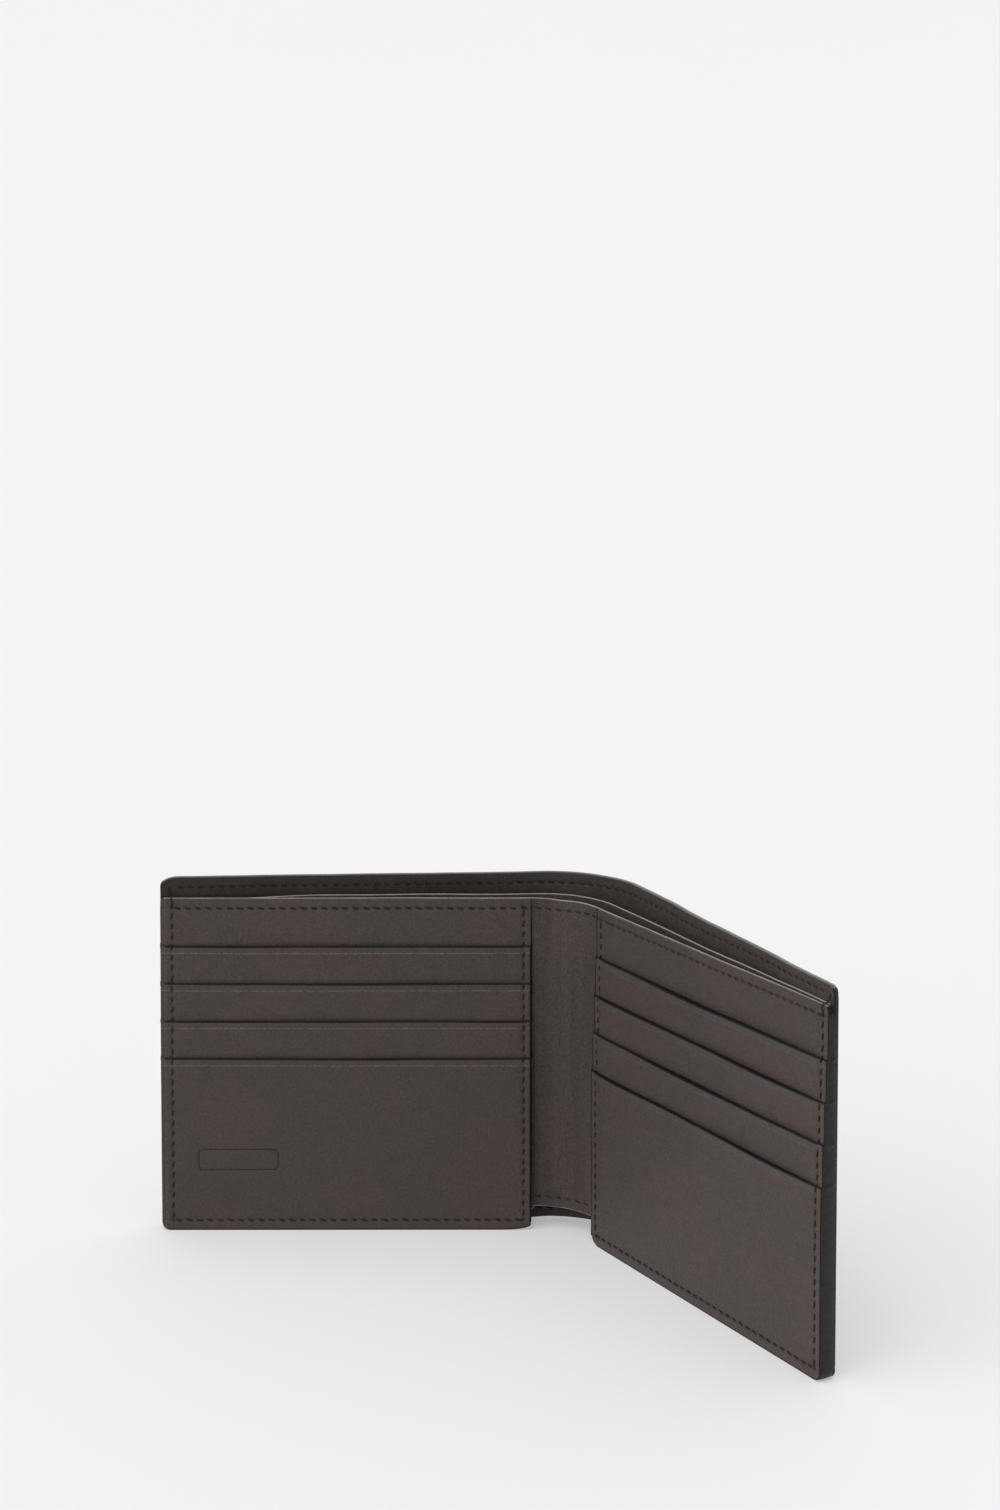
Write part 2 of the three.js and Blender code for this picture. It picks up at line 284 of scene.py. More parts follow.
def write_attributes(piece, **attributes):
    """Stores one number or one vector for each of a piece's points, under each name."""
    for name, values in attributes.items():
        values = np.asarray(values, np.float32)
        kind, field = ("FLOAT_VECTOR", "vector") if values.ndim == 2 else ("FLOAT", "value")
        piece.data.attributes.new(name, kind, "POINT").data.foreach_set(field, values.ravel())


def read_values(collection, field, width):
    """One row for each vertex or attribute value."""
    values = np.empty(len(collection) * width, np.float32)
    collection.foreach_get(field, values)
    return values.reshape(-1, width).astype(float)


def loft_faces(rings, sides, first=0, flip=False):
    """Faces of a tube of rings whose points start at index first, with both ends closed."""
    faces = []
    for ring in range(rings - 1):
        a = first + ring * sides
        for k in range(sides):
            j = (k + 1) % sides
            faces.append([a + k, a + j, a + sides + j, a + sides + k])
    last = first + (rings - 1) * sides
    faces += [list(range(first, first + sides))[::-1], list(range(last, last + sides))]
    return [face[::-1] for face in faces] if flip else faces


RIM_REACH = 0.7  # bare rims get wear and a painted highlight, painted ones dark edge paint, this far in from a sheet's edge
POCKET_GAP_SHADE = 0.49  # painted shade in a pocket gap: the paint value that makes covered leather dark, but not black
GROOVE = 1.2  # a light line beside each outer side edge, a painted highlight
LINE_WIDTH = 0.16  # half width of the soft lines
FULL_PRESS = 0.2  # a mark this deep gets the full darkening: partly pressed leather, partly painted shade in the dip


def leather_piece(name, sheet, outline, xs, zs, front, thick, relief, marks=None, seed=0.0, crease=None,
                  painted=0.0, groove_highlight=0.0, worn_highlight=1.0, crease_highlight=1.0, banded=1.0, gap_shade_below=None):
    """A closed leather sheet with rounded rims. relief(x, z) moves it back, marks(x, z) its front only.

    crease is the height of a pressed line along the upper edge, crease_highlight the strength of a painted
    highlight along it and banded that of a painted sheen, lighter and cooler, on the strip above it.
    painted is how far dark paint covers the rims: a number, "sides" to leave the top and bottom rims bare, or
    "inner" to leave only the rim at the sheet's start bare. groove_highlight is the strength of a painted
    highlight line beside the outer side edge, worn_highlight how bright bare rims are with wear and a painted
    highlight, and gap_shade_below the height below which the next pocket covers the sheet and painted shade
    darkens it, as inside the pocket gap.
    """
    columns = xs[:, None] * np.ones(len(zs))[None, :]
    share = (zs - outline.z0) / (outline.z1 - outline.z0)
    low, high = outline.low(xs), outline.high(xs)
    rows = low[:, None] + share[None, :] * (high - low)[:, None]
    inset = np.maximum(outline.distance(columns, rows), 0)
    inset[0, :] = inset[-1, :] = 0
    inset[:, 0] = inset[:, -1] = 0
    rim = thick / 2
    t = np.clip(1 - inset / rim, 0, 1)
    roll = rim * (1 - np.sqrt(1 - t * t))
    shift = relief(columns, rows)
    cut = marks(columns, rows) * np.clip(inset / rim, 0, 1) if marks else 0.0
    y_front = front + roll + shift + cut
    y_back = front + thick - roll + shift
    front_points = sheet.place(columns, y_front, rows).reshape(-1, 3)
    back_points = sheet.place(columns, y_back, rows).reshape(-1, 3)
    nx, nz = columns.shape
    front_index = np.arange(nx * nz).reshape(nx, nz)
    back_index = front_index.copy()
    inner = np.zeros((nx, nz), bool)
    inner[1:-1, 1:-1] = True
    back_index[inner] = nx * nz + np.arange(inner.sum())
    points = np.concatenate([front_points, back_points[inner.ravel()]])

    def quads(index, flip):
        a, b, c, d = index[:-1, :-1], index[1:, :-1], index[1:, 1:], index[:-1, 1:]
        order = (a, d, c, b) if flip else (a, b, c, d)
        return np.stack([part.ravel() for part in order], 1).tolist()

    piece = new_object(name, points, quads(front_index, False) + quads(back_index, True))

    def on_both(values):
        return np.concatenate([values, values[inner.ravel()]])

    def on_front(values):
        return np.append(np.broadcast_to(values, columns.shape), np.zeros(inner.sum()))

    edge = np.clip(1 - inset / RIM_REACH, 0, 1)
    cover = painted
    if painted == "sides":
        cover = 1 - ease(np.minimum(columns - outline.x0, outline.x1 - columns), 0.5, 1.1)
    elif painted == "inner":
        cover = ease(columns - outline.x0, 0.4, 1.4)
    paint = edge * cover
    # painted shade: below the next pocket's mouth the covered leather is painted dark, as in the pocket gap
    if gap_shade_below is not None:
        paint = np.maximum(paint, POCKET_GAP_SHADE * ease(gap_shade_below - rows, -0.04, 0.06))
    outer = outline.x0 + GROOVE if outline.x0 < PANEL.left / 2 else outline.x1 - GROOVE
    # painted highlight lines beside the outer side edge and along the crease
    band, line = 0.0, 0.55 * groove_highlight * gauss(columns, outer, LINE_WIDTH)
    if crease is not None:
        # painted sheen on the strip above the crease
        band = banded * ease(rows, crease - 0.35, crease + 0.1)
        line = line + crease_highlight * gauss(rows, crease - 0.05, LINE_WIDTH)
    flat = np.stack([columns, rows, np.full_like(columns, seed)], -1).reshape(-1, 3)
    write_attributes(
        piece, paint=on_both(paint.ravel()), sheet=on_both(flat), edge=worn_highlight * on_both(edge.ravel()),
        back=np.arange(len(points)) >= nx * nz, pressed=on_front(np.clip(cut / FULL_PRESS, 0, 1)),
        band=on_front(band), line=on_front(line),
    )
    return piece


# ==== Relief of the leather ====
def half_relief(x, z):
    """Both card stacks and the panel under them: very slight uneven swelling, hardly any at the bottom."""
    tied = tied_ends(x, PANEL.length, 12)
    swell = 0.16 * waves(x, z, 1.3, 70) + 0.07 * waves(x, z, 4.1, 27)
    return swell * ease(z, -5, 25) * (0.15 + 0.85 * tied)


def spine_relief(x, z):
    """The inner panel between the stacks: slight upright folds where it bends."""
    middle = (PANEL.left + PANEL.right) / 2
    zone = gauss(x, middle, 7.5)
    folds = 0.05 * np.sin(x * 1.3 + 1.4 * np.sin(z * 0.05))
    folds = folds + 0.02 * np.sin(x * 3.1 + 2.0 * np.sin(z * 0.11))
    fullest = PANEL.left + 0.4 * (PANEL.right - PANEL.left)
    bulge = 0.9 * gauss(x, fullest, 3.6) * ease(z, SPINE_CUT, 30)
    return half_relief(x, z) + zone * folds - bulge


def shell_relief(x, z):
    """The shell's lining and cover: a soft wave near the free top edge, none where the sides are sewn."""
    swell = 0.30 * waves(x, z, 2.2, 60) + 0.10 * waves(x, z, 5.7, 22)
    return swell * ease(z, -10, 60) * tied_ends(x, SHELL.length, 18)


def divider_relief(x, z):
    """The divider's own, gentler wave."""
    return 0.2 * waves(x, z, 3.4, 55) * ease(z, -10, 60) * tied_ends(x, DIVIDER.length, 18)


def stack_span(side):
    """The card stack's outer and spine-side edges along the panel sheet, lowest x first."""
    if side == "left":
        return STACK_INSET, PANEL.left
    return PANEL.right, PANEL.length - STACK_INSET


def seam_columns(side):
    """Where the outer seam and the spine-side seam run on one half, as x along the panel."""
    if side == "left":
        return SIDE_SEAM[side], PANEL.left - INNER_SEAM
    return PANEL.length - SIDE_SEAM[side], PANEL.right + INNER_SEAM


MOUTH_LIFT = {"left": (0.62, 0.64, 0.62, 0.58), "right": (1.15, 1.2, 1.15, 1.1)}
MOUTH_SHADE = 0.06  # how far below a pocket's mouth the painted shade on the covered leather behind it starts
MOUTH_SETTLE = 6.0  # over this distance below its mouth a pocket settles by two thirds
MOUTH_WAVE = {"left": 0.06, "right": 0.10}
CREASE_HIGHLIGHT = {"left": 1.0, "right": 0.35}  # how strong the painted highlight along the pressed crease is
BAND_SHEEN = {"left": 0.5, "right": 1.0}  # how strong the painted sheen, lighter and cooler, above the crease is


def mouth_lift(side, mouth):
    """A pocket's mouth stands forward between its seams and settles within a few millimetres."""
    outer, inner = sorted(seam_columns(side))
    height = MOUTH_LIFT[side][MOUTHS.index(mouth)]

    def lift(x, z):
        across = np.clip((x - outer) / (inner - outer), 0, 1)
        between = np.clip(np.sin(across * math.pi), 0, 1) ** 0.35
        uneven = 1 + 0.12 * np.sin(x * 0.11 + mouth)
        return -height * between * uneven * np.exp(-np.clip(mouth - z, 0, None) / MOUTH_SETTLE)

    return lift


def seam_dip(value, seam):
    """The dip beside a seam: 1 on its line, fading to 0."""
    return gauss(value, seam, SEAM_DIP)


def stitch_pull(along):
    """The seam's dip is deepest in the middle of each stitch."""
    return 0.75 + 0.25 * np.cos(along / PITCH * 2 * math.pi)


def seam_dents(side, bottom, top=None):
    """The leather pulled in along a card stack's seams."""
    columns = seam_columns(side)

    def dents(x, z):
        depth = STACK_DEPTH * stitch_pull(z - SEAM) * sum(seam_dip(x, column) for column in columns)
        if bottom:
            depth = depth + STACK_DEPTH * stitch_pull(x - columns[0]) * seam_dip(z, SEAM)
        if top is not None:
            depth = depth + PANEL_DEPTH * seam_dip(z, top)
        return depth

    return dents


# ==== Materials ====
# Tones are linear colours. A single number as a ramp's tone is a grey.
PAINT_TONE = (0.004, 0.0038, 0.004)
# bare rims: partly burnished wear, partly a painted highlight
RIM_WEAR_HIGHLIGHT = (0.26, 0.247, 0.233)
COOL = (0.0560, 0.0475, 0.0414)
WARM = (0.0640, 0.0475, 0.0426)
GLINT = (0.12, 0.085, 0.070)  # where a stitch dips into its hole and catches the light


class Look:
    """A material: one Principled shader and the nodes that feed it, patterned in sheet coordinates."""

    def __init__(self, name, on_sheet=True):
        self.material = bpy.data.materials.new(name)
        self.material.use_nodes = True
        self.nodes, self.links = self.material.node_tree.nodes, self.material.node_tree.links
        self.nodes.clear()
        output = self.node("OutputMaterial")
        self.shader = self.node("BsdfPrincipled")
        self.links.new(self.shader.outputs["BSDF"], output.inputs["Surface"])
        if on_sheet:
            self.place = self.attribute("sheet", "Vector")
        else:
            self.place = self.node("TexCoord").outputs["Object"]

    def feed(self, socket, value):
        """Sets a socket to a number or a colour, or links it to another node's output."""
        if isinstance(value, (int, float)):
            socket.default_value = value
        elif isinstance(value, tuple):
            socket.default_value = (*value, 1)
        else:
            self.links.new(value, socket)

    def node(self, kind, **values):
        """A new node, with the named input sockets fed."""
        node = self.nodes.new(f"ShaderNode{kind}")
        for name, value in values.items():
            self.feed(node.inputs[name], value)
        return node

    def surface(self, values):
        """Feeds the shader's own sockets, by name."""
        for name, value in values.items():
            self.feed(self.shader.inputs[name], value)

    def attribute(self, name, output="Fac"):
        node = self.node("Attribute")
        node.attribute_name = name
        return node.outputs[output]

    def noise(self, scale, detail=2.0, roughness=0.5, stretch=(1, 1, 1)):
        mapping = self.node("Mapping", Vector=self.place)
        mapping.inputs["Scale"].default_value = stretch
        vector = mapping.outputs["Vector"]
        node = self.node("TexNoise", Vector=vector, Scale=scale, Detail=detail, Roughness=roughness)
        return node.outputs["Fac"]

    def cells(self, scale, smooth):
        node = self.node("TexVoronoi", Vector=self.place, Scale=scale)
        node.feature = "SMOOTH_F1"
        node.inputs["Smoothness"].default_value = smooth
        return node.outputs["Distance"]

    def ramp(self, value, *stops):
        """A colour that depends on a value, from stops of position and tone."""
        node = self.node("ValToRGB", Fac=value)
        elements = node.color_ramp.elements
        while len(elements) < len(stops):
            elements.new(0.5)
        for element, (position, tone) in zip(elements, stops):
            element.position = position
            element.color = (*(tone if isinstance(tone, tuple) else (tone,) * 3), 1)
        return node.outputs["Color"]

    def mix(self, factor, first, second, kind="MIX"):
        node = self.node("Mix")
        node.data_type = "RGBA"
        node.blend_type = kind
        sockets = (node.inputs["Factor"], node.inputs[6], node.inputs[7])
        for socket, value in zip(sockets, (factor, first, second)):
            self.feed(socket, value)
        return node.outputs[2]

    def tint(self, colour, value, *stops):
        """The colour multiplied by a ramp of the value."""
        return self.mix(1.0, colour, self.ramp(value, *stops), "MULTIPLY")

    def product(self, first, second):
        node = self.node("Math")
        node.operation = "MULTIPLY"
        for socket, value in zip(node.inputs, (first, second)):
            self.feed(socket, value)
        return node.outputs[0]

    def bumps(self, *layers):
        """Reliefs on top of each other: height, distance in metres, strength."""
        normal = None
        for height, distance, strength in layers:
            node = self.node("Bump", Strength=strength, Distance=distance, Height=height)
            if normal is not None:
                self.feed(node.inputs["Normal"], normal)
            normal = node.outputs["Normal"]
        return normal


def leather_material(name, cool, warm, grain, grain_depth, rough, rim, specular=0.2, upright=0.0,
                     paint_tone=PAINT_TONE, left_shade=None):
    """Leather: soft colour mottling, pores, fine grain relief and a rim of wear with a painted highlight, or
    of dark paint.

    cool and warm are its two tones, grain is the size of one grain in millimetres and upright adds fine
    wrinkles and streaks of painted sheen that run up the sheet. left_shade darkens its tone towards its left
    end as painted shade.
    """
    look = Look(name)
    mottle = look.noise(0.042, detail=3.0, roughness=0.55)
    colour = look.ramp(mottle, (0.40, cool), (0.60, warm))
    speckle = look.noise(0.6 / grain, detail=4.0, roughness=0.8)
    colour = look.tint(colour, speckle, (0.3, 0.68), (0.7, 1.27))
    cloud = look.noise(0.3, detail=4.0, roughness=0.6)
    colour = look.tint(colour, cloud, (0.35, 0.95), (0.65, 1.04))
    # painted shade: the tone darkens towards the sheet's left end
    if left_shade is not None:
        along = look.node("SeparateXYZ", Vector=look.place).outputs["X"]
        share = look.product(along, 1 / SHELL.length)
        colour = look.tint(colour, share, (0.36, left_shade), (0.50, 1.0))
    # painted sheen: the strip above a pocket's crease is lighter and cooler
    colour = look.tint(colour, look.attribute("band"), (0.0, 1.0), (1.0, (0.98, 1.13, 1.14)))
    # painted highlight lines along the crease and beside the outer side edges, broken up
    breaks = look.ramp(look.noise(1.7), (0.36, 0.15), (0.52, 1.0))
    line = look.product(look.attribute("line"), breaks)
    colour = look.tint(colour, line, (0.1, 1.0), (0.8, (1.95, 1.90, 1.78)))
    # where seams and marks press the leather in it is darker: partly pressed leather, partly painted shade in
    # the dips
    pressed, part_dark, dark = look.attribute("pressed"), (0.93, 0.92, 0.92), (0.45, 0.44, 0.44)
    colour = look.tint(colour, pressed, (0.3, 1.0), (0.85, part_dark), (1.0, dark))
    # bare rims: wear with a painted highlight
    uneven = look.ramp(look.noise(0.25), (0.3, 0.86), (0.6, 1.0))
    wear_highlight = look.ramp(look.product(look.attribute("edge"), uneven), (0.62, 0.0), (0.74, 1.0))
    colour = look.mix(wear_highlight, colour, rim)
    paint = look.ramp(look.attribute("paint"), (0.42, 0.0), (0.50, 1.0))
    colour = look.mix(paint, colour, paint_tone)

    soft = look.noise(0.16, detail=3.0, roughness=0.55)
    crinkle = look.noise(0.55 / grain, detail=3.0, roughness=0.7)
    pores = look.cells(1.0 / grain, 0.55)
    fine = look.noise(2.6 / grain, detail=4.0, roughness=0.6)
    layers = [
        (soft, 0.00045, 0.3), (crinkle, grain_depth * 5, 0.75), (pores, grain_depth, 0.9),
        (fine, grain_depth * 0.5, 0.6),
    ]
    if upright:
        # painted sheen: light and dark streaks up the sheet
        sheen_streak = look.noise(0.15, detail=3.0, roughness=0.6, stretch=(1.0, 0.09, 1.0))
        colour = look.tint(colour, sheen_streak, (0.36, (0.84, 0.83, 0.83)), (0.64, (1.17, 1.16, 1.16)))
        wrinkle = look.noise(1.3, detail=3.0, roughness=0.65, stretch=(1.0, 0.45, 1.0))
        layers.append((wrinkle, 0.0006, upright))
    gloss = look.noise(0.5, detail=4.0, roughness=0.6)
    look.surface({
        "Base Color": colour, "Normal": look.bumps(*layers),
        "Roughness": look.ramp(gloss, (0.3, rough - 0.05), (0.7, rough + 0.07)),
        "Specular IOR Level": specular,
        "Sheen Weight": 0.05, "Sheen Roughness": 0.45, "Sheen Tint": (0.80, 0.70, 0.64),
    })
    return look.material


def thread_material(name, lift):
    """Waxed thread: nearly black brown, with painted glints on a few fibres and at the stitch ends. lift
    makes it paler.
    """
    look = Look(name)
    fibre = look.noise(2.4, detail=3.0)
    black = (0.004 + lift, 0.0022 + 0.75 * lift, 0.002 + 0.7 * lift)
    brown = (0.009 + lift, 0.005 + 0.75 * lift, 0.0045 + 0.7 * lift)
    # the lightest fibre tone is a painted glint
    tone = look.ramp(fibre, (0.3, black), (0.62, brown), (0.72, (0.06, 0.042, 0.036)))
    tip = look.ramp(look.attribute("tip"), (0.72, 0.0), (0.86, 1.0))
    patchy = look.ramp(look.noise(0.9), (0.44, 0.0), (0.56, 1.0))
    look.surface({
        "Base Color": look.mix(look.product(tip, patchy), tone, GLINT),
        "Normal": look.bumps((fibre, 0.00006, 0.7)),
        "Roughness": look.ramp(fibre, (0.3, 0.36), (0.7, 0.54)), "Specular IOR Level": 0.28,
    })
    return look.material


def paint_material(name, pale, specular):
    """Edge paint: nearly black, smooth and slightly uneven, with a low gloss. pale scales its tone."""
    look = Look(name)
    uneven = look.noise(0.55, detail=4.0, roughness=0.6)
    dark = (0.007 * pale, 0.007 * pale, 0.0075 * pale)
    light = (0.018 * pale, 0.0165 * pale, 0.0165 * pale)
    look.surface({
        "Base Color": look.ramp(uneven, (0.35, dark), (0.65, light)),
        "Normal": look.bumps((uneven, 0.00035, 0.5)),
        "Roughness": look.ramp(uneven, (0.3, 0.26), (0.7, 0.40)), "Specular IOR Level": specular,
    })
    return look.material


def board_material():
    """Bonded fibre board: pressed brown fibres."""
    look = Look("bonded_fibre", on_sheet=False)
    fibre = look.noise(900.0, detail=5.0, roughness=0.7, stretch=(1.0, 1.0, 0.3))
    look.surface({
        "Base Color": look.ramp(fibre, (0.3, (0.16, 0.12, 0.08)), (0.7, (0.33, 0.27, 0.20))),
        "Normal": look.bumps((fibre, 0.0002, 0.6)), "Roughness": 0.9,
    })
    return look.material


INSIDE = leather_material("inside_leather", COOL, WARM, 0.38, 0.00005, 0.46, RIM_WEAR_HIGHLIGHT)
SPINE = leather_material("spine_leather", COOL, WARM, 0.42, 0.00007, 0.40, RIM_WEAR_HIGHLIGHT, upright=1.0)
LINING = leather_material(
    "lining_leather", (0.053, 0.0455, 0.0405), (0.0575, 0.0455, 0.041), 0.45, 0.00005, 0.48,
    (0.10, 0.092, 0.084), specular=0.1, paint_tone=(0.021, 0.020, 0.020), left_shade=0.62,
)
DIVIDER_LEATHER = leather_material("divider_leather", COOL, WARM, 0.45, 0.00005, 0.46, RIM_WEAR_HIGHLIGHT)
OUTSIDE = leather_material(
    "outside_leather", (0.040, 0.035, 0.030), (0.047, 0.036, 0.031), 0.95, 0.00026, 0.42,
    (0.20, 0.188, 0.175), specular=0.42, paint_tone=(0.011, 0.0105, 0.0105),
)
THREAD = thread_material("waxed_thread", 0.0)
THREAD_PALE = thread_material("waxed_thread_pale", 0.013)
PAINT = paint_material("edge_paint", 1.0, 0.26)
PAINT_SHADED = paint_material("edge_paint_shaded", 0.25, 0.08)  # a darker copy of the paint, as painted shade beside the spine, where hardly any light gets in
BOARD = board_material()


# ==== Finishing a piece ====
def finish_piece(piece, material, nodes, body=None):
    """Gives a piece its material, hides its CAD nodes and attaches it to its body, or with None bakes its
    transform.
    """
    piece.data.materials.append(material)
    if body:
        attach(piece, body)
    else:
        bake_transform(piece)
    if nodes:
        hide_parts(*nodes)


def all_three(name):
    """A folded layer's three CAD nodes."""
    return [f"{name}_left", f"{name}_spine", f"{name}_right"]


# ==== Folded layers ====
PANEL_CORNERS = dict(
    low_left=CORNER, low_right=CORNER, high_left=STACK_CORNER_ROUND, high_right=STACK_CORNER_ROUND,
)


def fold_zone(sheet, close):
    return ((sheet.left + sheet.right) / 2, (sheet.right - sheet.left) / 2 + 1, close)


def build_shell():
    """The outer shell: a cover of grained leather and a smooth lining, each one piece round the fold."""
    rounded = dict(low_left=CORNER, low_right=CORNER, high_left=SHELL_HIGH_LEFT, high_right=CORNER)
    lift = (SHELL.left + 2.0, SHELL.right - 1.0, 0.4, 9.0)
    outline = Outline(0, SHELL.length, 0, COVER_HEIGHT, raised=lift, sag=(0.0, 0.6), **rounded)
    columns, rows = (SEAM, SHELL.length - SEAM), (SEAM, COVER_HEIGHT - SEAM)
    side_zones = [(column, *SEAM_ZONE) for column in columns]
    xs = stations(0, SHELL.length, 1.3, fold_zone(SHELL, 0.6), *side_zones)
    zs = stations(0, COVER_HEIGHT, 1.5, *[(row, *SEAM_ZONE) for row in rows])

    def seams(x, z):
        dips = [seam_dip(z, row) for row in rows] + [seam_dip(x, column) for column in columns]
        return SHELL_DEPTH * sum(dips)

    lining = leather_piece("cover_lining", SHELL, outline, xs, zs, 0, LINING_THICK, shell_relief, seams,
                           11.0, painted="sides")
    finish_piece(lining, LINING, all_three("cover_lining"))
    cover = leather_piece("cover", SHELL, outline, xs, zs, COVER_FRONT, COVER_BACK - COVER_FRONT,
                          shell_relief, None, 23.0, painted="sides")
    pinch_back(cover, seams)
    finish_piece(cover, OUTSIDE, all_three("cover"))


def pinch_back(piece, seams):
    """Presses the cover's seams into its outer face."""
    x, z, _ = read_values(piece.data.attributes["sheet"].data, "vector", 3).T
    back = read_values(piece.data.attributes["back"].data, "value", 1)[:, 0]
    points = read_values(piece.data.vertices, "co", 3)
    points += SHELL.place(x, -seams(x, z) * back, z) - SHELL.place(x, 0.0, z)
    piece.data.vertices.foreach_set("co", points.astype(np.float32).ravel())
    piece.data.update()


def build_divider():
    top, crease_z = PANEL_HEIGHT + DIVIDER_RISE, PANEL_HEIGHT - CREASE
    raised = (DIVIDER.left + 1.0, DIVIDER.right - 1.0, SPINE_CUT, 5.0)
    outline = Outline(STACK_INSET, DIVIDER.length - STACK_INSET, 0, top, raised=raised, sag=(0.65, 0.0),
                      wave=0.08, **PANEL_CORNERS)
    xs = stations(outline.x0, outline.x1, ALONG_STEP, fold_zone(DIVIDER, 0.7))
    zs = stations(0, top, 2.5, (crease_z, 0.5, 0.12))

    def crease(x, z):
        return 0.06 * gauss(z, crease_z, 0.14)

    piece = leather_piece("divider", DIVIDER, outline, xs, zs, 0, DIVIDER_THICK, divider_relief, crease,
                          31.0, painted="sides")
    finish_piece(piece, DIVIDER_LEATHER, all_three("divider"))


def build_inner_panel():
    raised = (PANEL.left - 1.0, PANEL.right + 1.0, SPINE_CUT, 4.0)
    outline = Outline(STACK_INSET, PANEL.length - STACK_INSET, 0, PANEL_HEIGHT, raised=raised,
                      **PANEL_CORNERS)
    rows = (PANEL_HEIGHT - SEAM, SPINE_CUT + SEAM)
    xs = stations(outline.x0, outline.x1, ALONG_STEP, fold_zone(PANEL, 0.28))
    zs = stations(0, PANEL_HEIGHT, 2.0, *[(row, *SEAM_ZONE) for row in rows])

    def seams(x, z):
        return PANEL_DEPTH * sum(seam_dip(z, row) for row in rows) * stitch_pull(x - SEAM)

    piece = leather_piece("inner_panel", PANEL, outline, xs, zs, 0, PANEL_THICK, spine_relief, seams,
                          47.0, painted="sides")
    finish_piece(piece, SPINE, all_three("inner_panel"))


# ==== Card stacks ====
MARK_SIZE = (20.0, 5.2)  # a pressed frame on the lowest left pocket
MARK_CENTRE = (19.5, 18.2)
MARK_CORNER = 1.2
MARK_DEPTH = 0.24
MARK_LINE = 0.28  # half width of its line


def pressed_mark(x, z):
    """A blank rounded frame pressed into the leather."""
    dx = np.abs(x - MARK_CENTRE[0]) - (MARK_SIZE[0] / 2 - MARK_CORNER)
    dz = np.abs(z - MARK_CENTRE[1]) - (MARK_SIZE[1] / 2 - MARK_CORNER)
    outside = np.hypot(np.maximum(dx, 0), np.maximum(dz, 0)) + np.minimum(np.maximum(dx, dz), 0)
    return MARK_DEPTH * gauss(outside, MARK_CORNER, MARK_LINE)


def build_stack(side):
    """The base and the four stepped card pockets of one half."""
    body, on_left = f"{side}_half", side == "left"
    x0, x1 = stack_span(side)
    if on_left:
        groove, seed, sides_painted = x0 + GROOVE, 3.0, 0.0
        low = dict(low_left=CORNER, low_right=(7.0, 1.4))
        high = dict(high_left=STACK_CORNER_ROUND)
    else:
        groove, seed, sides_painted = x1 - GROOVE, 71.0, "sides"
        low = dict(low_left=(3.4, 3.4), low_right=CORNER)
        high = dict(high_right=STACK_CORNER_ROUND)
    columns = [(column, 0.9, 0.16) for column in seam_columns(side)] + [(groove, 0.3, 0.1)]

    height, top = PANEL_HEIGHT - BASE_DROP, PANEL_HEIGHT - SEAM
    shown = ((MOUTHS[0] + PANEL_HEIGHT) / 2, 7.5, 0.9)
    xs = stations(x0, x1, ALONG_STEP, *columns)
    zs = stations(0, height, 6.0, (top, *SEAM_ZONE), shown, (MOUTHS[0], *MOUTH_ZONE))
    outline = Outline(x0, x1, 0, height, **low, **high)
    base = leather_piece(f"base_{side}", PANEL, outline, xs, zs, BASE_FRONT, POCKET_THICK, half_relief,
                         seam_dents(side, False, top), seed, painted=sides_painted, groove_highlight=1.0, worn_highlight=0.0,
                         gap_shade_below=MOUTHS[0] - MOUTH_SHADE)
    finish_piece(base, INSIDE, [f"pocket_base_{side}"], body)

    for n, (mouth, front) in enumerate(zip(MOUTHS, POCKET_FRONTS)):
        lowest = n == POCKETS - 1
        bottom, next_mouth = (0.0, 0.0) if lowest else (HEMS[n], MOUTHS[n + 1])
        marked = lowest and on_left
        across = list(columns)
        up = [(mouth - CREASE, 0.5, 0.1), ((mouth + next_mouth) / 2, (mouth - next_mouth) / 2, 1.1)]
        up.append((SEAM, *SEAM_ZONE) if lowest else (next_mouth, *MOUTH_ZONE))
        if marked:
            up.append((MARK_CENTRE[1], MARK_SIZE[1] / 2 + 0.5, 0.14))
            across.append((MARK_CENTRE[0], MARK_SIZE[0] / 2 + 0.5, 0.2))
        xs, zs = stations(x0, x1, ALONG_STEP, *across), stations(bottom, mouth, 6.0, *up)
        outline = Outline(x0, x1, bottom, mouth, wave=MOUTH_WAVE[side], **(low if lowest else {}))
        lift, dents = mouth_lift(side, mouth), seam_dents(side, lowest)

        def relief(x, z, lift=lift):
            return half_relief(x, z) + lift(x, z)

        def marks(x, z, mouth=mouth, marked=marked, dents=dents):
            depth = dents(x, z) + 0.07 * gauss(z, mouth - CREASE, LINE_WIDTH)
            return depth + pressed_mark(x, z) if marked else depth

        pocket = leather_piece(f"pocket_{side}_{n + 1}", PANEL, outline, xs, zs, front, POCKET_THICK,
                               relief, marks, seed + 7.0 * (n + 1), mouth - CREASE, groove_highlight=1.0, worn_highlight=0.0,
                               painted="inner" if on_left else 1.0,
                               crease_highlight=CREASE_HIGHLIGHT[side], banded=BAND_SHEEN[side],
                               gap_shade_below=None if lowest else next_mouth - MOUTH_SHADE)
        finish_piece(pocket, INSIDE, [f"card_pocket_{side}_{n + 1}"], body)


# ==== Edge paint ====
EDGE_SIDES = 12
SIDE_PAINT_BACK = SHELL_FRONT + COVER_BACK - 0.55  # the side edges are painted back to the cover
SPINE_PAINT_BACK = -0.06  # and the spine-side edges only back to the panel
SPINE_PAINT_LOW = 1.6  # where the paint of the spine-side edges starts
SPINE_PAINT_PROUD = 0.12  # how far it stands out from them
PAINT_COAT = 0.05
PAINT_INSET = 0.04  # the paint stays this far behind the leather's face
PAINT_UNDER = 0.20  # and reaches this far in from the sheets' edges
PAINT_END = 0.5  # its ends are rounded over this length
MOUTH_BEAD = 0.18


